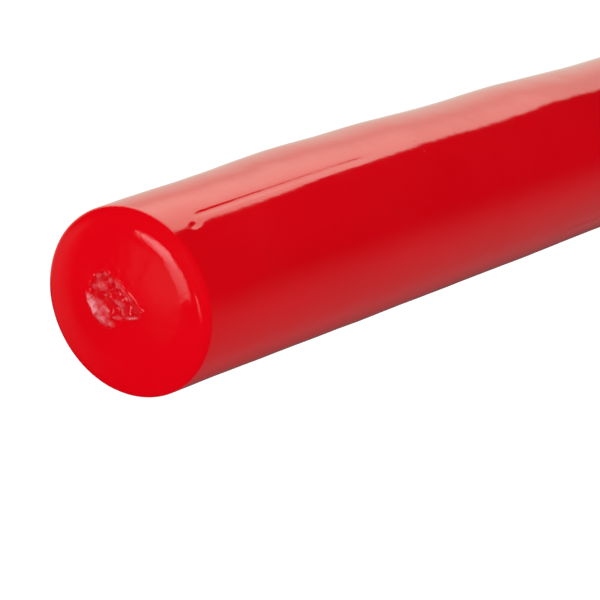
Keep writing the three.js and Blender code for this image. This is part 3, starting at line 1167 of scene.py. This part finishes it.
@dataclass(frozen=True)
class DippedGrip:
    """The vinyl on one handle, with the torn drip on its closed end.

    Its own frame has X away from the barrel, Y to the right of someone who faces the closed end
    and Z up. Lengths are in millimetres, but for height, which is the axis's height above the mouth
    in metres. Depths run towards the barrel from a level face_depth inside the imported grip's end.
    """

    TORN = "torn"
    # The second attribute carries the painted highlight on the torn drip's mounds.
    PAINTED_GLINT = "pale"
    FACE_RINGS = 95
    BORE_RINGS = 5

    side: Side
    height: float
    end: float
    length: float
    radius: float
    bore: float
    seed: int
    face_depth: float = 2.2
    face_dome: float = 0.35
    thinning: float = 0.0795
    thinning_reach: float = 48.0
    droop: float = 0.96
    lean: float = 0.3
    droop_reach: float = 24.0
    tilt_up: float = 0.0896
    tilt_right: float = 0.0115
    tilt_reach: float = 12.8
    centring: float = 0.8
    face_slopes: tuple[tuple[float, float], ...] = (
        (0.0, 0.0), (9.6, 2.2), (10.0, 4.4), (12.2, 8.3), (12.6, 13.0), (13.5, 17.0), (14.1, 27.0),
        (14.5, 43.0),
    )
    lip_reach: float = 8.0
    lip: float = 0.8
    waviness: float = 0.07
    wave_sizes: tuple[tuple[float, float], ...] = ((22.0, 1.0), (7.0, 0.6), (2.6, 0.16))
    wave_round: float = 14.0
    bore_end: float = 3.9
    drain: DrainLine = DrainLine()
    swells: tuple[Swell, ...] = (
        Swell(20, -25, -0.25, 12, 60), Swell(47, -25, 0.22, 12, 50), Swell(72, -20, 0.14, 9, 50),
        Swell(97, -25, -0.12, 12, 60), Swell(117, -20, 0.12, 10, 60), Swell(150, -25, -0.2, 14, 60),
        Swell(152, 22, -0.07, 12, 9), Swell(14, 24, -0.05, 10, 10),
    )

    @classmethod
    def from_frame(cls, side: Side, seed: int) -> "DippedGrip":
        """Takes one side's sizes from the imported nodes.

        Args:
            side: the handle.
            seed: which pattern of unevenness.

        Returns:
            The grip.
        """
        low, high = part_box(f"{side.value}_grip")
        bar_low, bar_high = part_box(f"{side.value}_handle_bar")
        return cls(side=side, height=(bar_low.z + bar_high.z) / 2, end=max(abs(low.x), abs(high.x)) / MM,
                   length=(high.x - low.x) / MM, radius=(high.z - low.z) / 2 / MM,
                   bore=(bar_high.z - bar_low.z) / 2 / MM + 0.1, seed=seed)

    def face_centre(self) -> Vector:
        """The place on the bar's axis where depths start, on the driver, in metres."""
        return Vector((self.side.out * (self.end - self.face_depth) * MM, 0, self.height))

    def build(self) -> bpy.types.Object:
        """Builds the grip.

        Returns:
            The grip, with its torn places and its painted highlight marked for the finish.
        """
        depth, radius, on_face = self.course()
        angle = self.columns()
        depth, radius, on_face = depth[:, None] + 0 * angle, radius[:, None] + 0 * angle, on_face[:, None]
        right, up = radius * np.sin(angle), radius * np.cos(angle)
        depth = self.off_centre(depth, radius, right, up)
        outer = (np.arange(len(depth)) < len(depth) - self.BORE_RINGS)[:, None]
        rise, torn, pale = TornDrip(self.seed).relief(right - self.lean, up - self.droop, on_face)
        thick = self.unevenness(depth, angle) * outer * (1 - on_face)
        right, up = right * (1 + thick / np.maximum(radius, 1)), up * (1 + thick / np.maximum(radius, 1))
        beyond = np.maximum(depth, 0)
        closeness = np.exp(-beyond / self.tilt_reach)
        sag = np.exp(-beyond / self.droop_reach) * outer
        shift = (self.tilt_right * right - self.tilt_up * up) * closeness * outer
        along = self.face_depth + depth + shift - rise
        along = np.minimum(along, self.length)
        points = np.stack([self.end - along, right - self.lean * sag, up - self.droop * sag], axis=2) * MM
        skin = Skin.from_rings(points[1:-1], points[0].mean(axis=0), points[-1].mean(axis=0))
        made = piece(f"{self.side.value}_dipped_grip", skin.on_side(self.side, self.height), DippedVinyl(),
                     f"{self.side.value}_grip")
        for name, marks in ((self.TORN, torn), (self.PAINTED_GLINT, pale)):
            values = np.concatenate([marks[1:-1].ravel(), [marks[0].max(), 0.0]]).astype(np.float32)
            made.data.attributes.new(name, "FLOAT", "POINT").data.foreach_set("value", values)
        return made

    def columns(self) -> np.ndarray:
        """The angles round from the top of the columns of points, closer together over the drain line."""
        even = np.linspace(0, TURN, ROUND_SEGMENTS, endpoint=False)
        line = self.drain.columns()
        return np.sort(np.concatenate([even[(even < line[0]) | (even > line[-1])], line]))

    def off_centre(self, depth: np.ndarray, radius: np.ndarray, right: np.ndarray,
                   up: np.ndarray) -> np.ndarray:
        """Moves the closed end's curve back to the bar's axis, from which the dipped skin hangs.

        Args:
            depth: depth at each point.
            radius: each point's distance from the middle of the skin.
            right: its place to the right of that.
            up: its place above it.

        Returns:
            The depth with the curve moved.
        """
        rows = self.FACE_RINGS - 1
        spots, fall = radius[:rows, 0], depth[:rows, 0].copy()
        share = self.centring * ease(radius, 0.0, 4.0) * ease(radius, 14.6, 11.0)
        shifted = radius - share * (self.lean * right + self.droop * up) / np.maximum(radius, 0.1)
        moved = depth.copy()
        moved[:rows] = np.interp(shifted[:rows], spots, fall)
        return moved

    def course(self) -> tuple[np.ndarray, np.ndarray, np.ndarray]:
        """The run of the skin from the middle of the closed end, over the outside and back in the bore.

        Returns:
            The depth and radius at each ring, and how far each ring belongs to the closed end's face.
        """
        last = self.length - self.face_depth
        inner_rings = 50
        outer_rings = self.FACE_RINGS - inner_rings - 1
        brow = self.face_slopes[-1][0]
        radii = np.concatenate([
            [0.0], np.linspace(0.08, 7.2, inner_rings), np.linspace(7.5, brow, outer_rings),
        ])
        spots, slopes = zip(*self.face_slopes)
        slope = np.tan(np.radians(np.interp(radii, spots, slopes)))
        fall = np.concatenate([[0.0], np.cumsum(np.diff(radii) * (slope[1:] + slope[:-1]) / 2)])
        start = math.radians(slopes[-1])
        turn = np.linspace(start, math.pi / 2, 10)[1:]
        bend = (self.radius * (1 - self.thinning) - spots[-1]) / (1 - math.sin(start))
        rim_radii = spots[-1] + bend * (np.sin(turn) - math.sin(start))
        rim_fall = fall[-1] + bend * (math.cos(start) - np.cos(turn))
        face = np.concatenate([fall, rim_fall]) - self.face_dome
        side = np.linspace(face[-1], last - self.lip_reach, 210)[1:]
        lip = np.linspace(0, 1, 16)[1:]
        back = [last, last - 2.0, 12.0, self.bore_end, self.bore_end]
        depth = np.concatenate([face, side, last - self.lip_reach * (1 - lip), back])
        beyond = np.maximum(side - face[-1], 0)
        swell = self.radius * (1 - self.thinning * np.exp(-beyond / self.thinning_reach))
        edge = self.bore + self.lip
        narrow = edge + (self.radius - edge) * np.sqrt(np.clip(1 - lip**2.2, 0, 1))
        bore = [self.bore, self.bore, self.bore, self.bore, 0.0]
        radius = np.concatenate([radii, rim_radii, swell, narrow, bore])
        edge_share = np.concatenate([ease(radii, self.radius * 0.85, self.radius * 0.72), 0 * rim_radii])
        on_face = np.concatenate([edge_share, np.zeros(len(depth) - len(edge_share))])
        return depth, radius, on_face

    def unevenness(self, depth: np.ndarray, angle: np.ndarray) -> np.ndarray:
        """How much thicker than true the dip is along its side.

        Args:
            depth: depth at each point.
            angle: angle round from the top at each column of points.

        Returns:
            The extra thickness.
        """
        flat = 0 * (depth + angle)
        up, right = self.wave_round * np.cos(angle) + flat, self.wave_round * np.sin(angle) + flat
        round_trip = np.stack([depth, up, right], axis=2)
        total = flat
        for order, (size, share) in enumerate(self.wave_sizes):
            total = total + share * self.waviness * lumps(round_trip, size, self.seed + order)
        for swell in self.swells:
            total = total + swell.rise(depth, angle)
        return total - self.drain.groove(depth, angle, self.radius)


# ------------------------------------------------------------------------------------------ studio
@dataclass(frozen=True)
class Softbox:
    """A soft studio lamp: where it stands, what it faces, its size and its brightness."""

    name: str
    stands: tuple[float, float, float]
    faces: tuple[float, float, float]
    wide: float
    tall: float
    radiance: float
    in_gloss: bool = True
    only_steel: bool = False

    def build(self) -> bpy.types.Object:
        """Sets up the lamp.

        Returns:
            The lamp.
        """
        lamp = bpy.data.lights.new(self.name, "AREA")
        lamp.shape = "RECTANGLE"
        lamp.size, lamp.size_y = self.wide, self.tall
        lamp.energy = self.radiance * math.pi * self.wide * self.tall
        made = bpy.data.objects.new(self.name, lamp)
        bpy.context.scene.collection.objects.link(made)
        made.location = self.stands
        aim = Vector(self.faces) - Vector(self.stands)
        made.rotation_euler = aim.to_track_quat("-Z", "Y").to_euler()
        made.visible_camera = False
        made.visible_glossy = self.in_gloss
        if self.only_steel:
            made.light_linking.receiver_collection = steel_pieces()
        return made


@dataclass(frozen=True)
class Panel:
    """A glowing panel in the surroundings, seen only in gloss. Angles are in degrees.

    Bearings run from -X towards +Y, and heights from the horizon up.
    """

    low_bearing: float
    high_bearing: float
    foot: float
    head: float
    foot_radiance: float
    head_radiance: float
    softness: float

    def seen(self, sheet: NodeSheet, way: Signal) -> Signal:
        """How bright the panel is in each direction.

        Args:
            sheet: the world's nodes.
            way: the direction.

        Returns:
            The radiance.
        """
        soft = math.radians(self.softness) / 2
        sides = []
        for bearing, sign in ((self.low_bearing, 1), (self.high_bearing, -1)):
            turn = math.radians(bearing)
            edge = sheet.facing(way, (sign * math.sin(turn), sign * math.cos(turn), 0))
            sides.append(edge.ramp(-soft, soft))
        up = way.part(2)
        foot, head = math.sin(math.radians(self.foot)), math.sin(math.radians(self.head))
        ends = up.ramp(foot - soft, foot + soft) * up.ramp(head + soft, head - soft)
        facing = sheet.facing(way, (-1, 0, 0)).ramp(0.0, 0.1)
        radiance = self.foot_radiance + (self.head_radiance - self.foot_radiance) * up.ramp(foot, head)
        return sides[0] * sides[1] * ends * facing * radiance


@dataclass(frozen=True)
class Studio:
    """The pale floor, the soft surroundings, the lamps and the camera."""

    grip: DippedGrip
    floor_size: float = 400.0
    floor_glow: float = 0.42
    fill_below: float = 0.66
    fill_above: float = 0.74
    sky_edge: tuple[float, float, float] = (-0.254, 0.885, 0.39)
    sky_low: float = 0.82
    sky_middle: float = 1.05
    sky_high: float = 2.3
    sky_softness: float = 0.02
    sky_beside: tuple[float, float] = (-0.15, 0.3)
    sky_foot: tuple[float, float] = (-0.27, -0.2)
    sky_lower: tuple[float, float] = (0.0, 0.35)
    sky_upper: tuple[float, float] = (0.38, 0.6)
    sky_tint: tuple[float, float, float, float] = rgb(0.94, 0.97, 0.83)
    ground: float = 0.17
    ground_level: float = 0.01
    ground_falls: tuple[float, float] = (0.05, -0.45)
    ground_beside: tuple[float, float] = (0.0, 0.5)
    ground_behind: tuple[float, float] = (0.0, 0.4)
    panels: tuple[Panel, ...] = (
        Panel(18.0, 29.0, -20.0, -6.8, 1.6, 4.6, 2.0),
        Panel(28.0, 35.3, -23.2, -18.5, 0.2, 0.38, 5.0),
        Panel(0.4, 1.4, -25.0, -16.0, 5.0, 5.0, 0.6),
        Panel(50.0, 120.0, -30.0, 4.0, 0.16, 0.24, 16.0),
    )
    elevation: float = 13.796
    swing: float = 32.918
    distance: float = 0.36687
    aside: float = 0.025547
    above: float = -0.000273
    lens: float = 150.0
    lamps: tuple[Softbox, ...] = ()

    def build(self) -> None:
        """Builds everything round the driver."""
        self.floor()
        self.surroundings()
        for lamp in self.lamps:
            lamp.build()
        self.camera()
        view = bpy.context.scene.view_settings
        view.view_transform = "Standard"
        view.look = "None"

    def floor(self) -> None:
        """A plain pale floor under the mouth. The surroundings light the driver in its stead."""
        half = self.floor_size / 2
        mesh = bpy.data.meshes.new("studio_floor")
        corners = [(-half, -half, 0), (half, -half, 0), (half, half, 0), (-half, half, 0)]
        mesh.from_pydata(corners, [], [(0, 1, 2, 3)])
        made = bpy.data.objects.new("studio_floor", mesh)
        bpy.context.scene.collection.objects.link(made)
        material = bpy.data.materials.new("pale_floor")
        material.use_nodes = True
        sheet = NodeSheet(material.node_tree)
        surface = sheet.node("ShaderNodeBsdfPrincipled", {}, {
            "Base Color": rgb(0.86, 0.86, 0.86), "Roughness": 0.9, "Specular IOR Level": 0.0,
            "Emission Color": rgb(1, 1, 1), "Emission Strength": self.floor_glow})
        sheet.add("ShaderNodeOutputMaterial", {}, {"Surface": surface})
        mesh.materials.append(material)
        made.visible_glossy = False
        made.visible_diffuse = False
        made.visible_shadow = False

    def surroundings(self) -> None:
        """White behind, even for matt light, and for gloss a bright far side, a dim ground and panels."""
        world = bpy.data.worlds.new("studio")
        bpy.context.scene.world = world
        world.use_nodes = True
        world.cycles.sampling_method = "NONE"
        sheet = NodeSheet(world.node_tree)
        way = sheet.node("ShaderNodeTexCoord", {}, {}, "Generated")
        up, across = way.part(2), way.part(0)
        covered = across.ramp(*self.sky_beside) * up.ramp(*self.sky_foot)
        sky = sheet.facing(way, self.sky_edge).ramp(-self.sky_softness, self.sky_softness) * covered
        sky_radiance = self.sky_low + (self.sky_middle - self.sky_low) * up.ramp(*self.sky_lower)
        sky_radiance = sky_radiance + (self.sky_high - self.sky_middle) * up.ramp(*self.sky_upper)
        behind = way.part(1).ramp(*self.ground_behind)
        ground = self.ground_level + self.ground * up.ramp(*self.ground_falls) * (1 - 0.5 * behind)
        gloss = sky * sky_radiance + (1 - sky) * ground * across.ramp(*self.ground_beside)
        for panel in self.panels:
            gloss = gloss + panel.seen(sheet, way)
        path = sheet.add("ShaderNodeLightPath", {}, {})
        seen = Signal(sheet, path.outputs["Is Camera Ray"])
        mirrored = Signal(sheet, path.outputs["Is Glossy Ray"])
        fill = self.fill_below + (self.fill_above - self.fill_below) * up.ramp(-0.7, 0.7)
        strength = seen + (1 - seen) * (mirrored * gloss + (1 - mirrored) * fill)
        tint = sheet.blend(rgb(1, 1, 1), self.sky_tint, sky * mirrored * (1 - seen))
        background = sheet.node("ShaderNodeBackground", {}, {"Color": tint, "Strength": strength})
        sheet.add("ShaderNodeOutputWorld", {}, {"Surface": background})

    def camera(self) -> None:
        """The camera, placed from the middle of the grip's closed end."""
        pitch, turn = math.radians(self.elevation), math.radians(self.swing)
        level = Vector((math.cos(turn), math.sin(turn), 0))
        right = Vector((math.sin(turn), -math.cos(turn), 0))
        ahead = level * math.cos(pitch) - Vector((0, 0, math.sin(pitch)))
        upward = right.cross(ahead)
        lens = bpy.data.cameras.new("camera")
        lens.sensor_width = 36.0
        lens.lens = self.lens
        lens.clip_start = 0.02
        lens.clip_end = 300.0
        made = bpy.data.objects.new("camera", lens)
        bpy.context.scene.collection.objects.link(made)
        made.location = (self.grip.face_centre() + right * self.aside + upward * self.above
                         - ahead * self.distance)
        made.rotation_mode = "QUATERNION"
        made.rotation_quaternion = ahead.to_track_quat("-Z", "Y")
        bpy.context.scene.camera = made


def softboxes(grip: DippedGrip) -> tuple[Softbox, ...]:
    """The lamps round the driver.

    Args:
        grip: the grip whose closed end the side lamp faces.

    Returns:
        The lamps.
    """
    end = grip.face_centre()
    beside = end + Vector((-0.36, -0.08, 0.06))
    return (
        Softbox("end_softbox", tuple(beside), tuple(end), 0.3, 0.3, 1.8, in_gloss=False),
        Softbox("top_softbox", (0.6, 0.9, 2.6), (0, 0, 0.3), 1.6, 1.6, 0.6, in_gloss=False),
        Softbox("front_softbox", (-0.9, -2.2, 1.6), (0, 0, 0.4), 1.4, 1.4, 0.3, in_gloss=False),
        *(Softbox(f"steel_softbox_{bearing}", (3 * math.cos(math.radians(bearing)),
                                               3 * math.sin(math.radians(bearing)), -0.1),
                  (0, 0, 0.2), 2.3, 3.4, 0.95, only_steel=True) for bearing in (35, 125, 215, 305)),
        Softbox("steel_softbox_above", (0.2, -0.3, 3.0), (0, 0, 0.3), 1.8, 1.8, 0.9, only_steel=True),
    )


def dress_hidden_plugs() -> None:
    """Gives the end plugs, which the grips cover, their steel."""
    for side in Side:
        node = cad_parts[f"{side.value}_end_plug"]
        node.data.materials.clear()
        node.data.materials.append(StruckSteel().material())


def main() -> None:
    """Builds the driver, piece by piece, and then the studio round it."""
    logging.basicConfig(level=logging.INFO, format="%(name)s %(message)s")
    Barrel.from_frame().build()
    Collar.from_frame().build()
    grips = {}
    for seed, side in enumerate(Side, 1):
        Handle.from_frame(side).build()
        grips[side] = DippedGrip.from_frame(side, 10 * seed)
        grips[side].build()
    dress_hidden_plugs()
    Studio(grip=grips[Side.LEFT], lamps=softboxes(grips[Side.LEFT])).build()


if __name__ == "__main__":
    main()
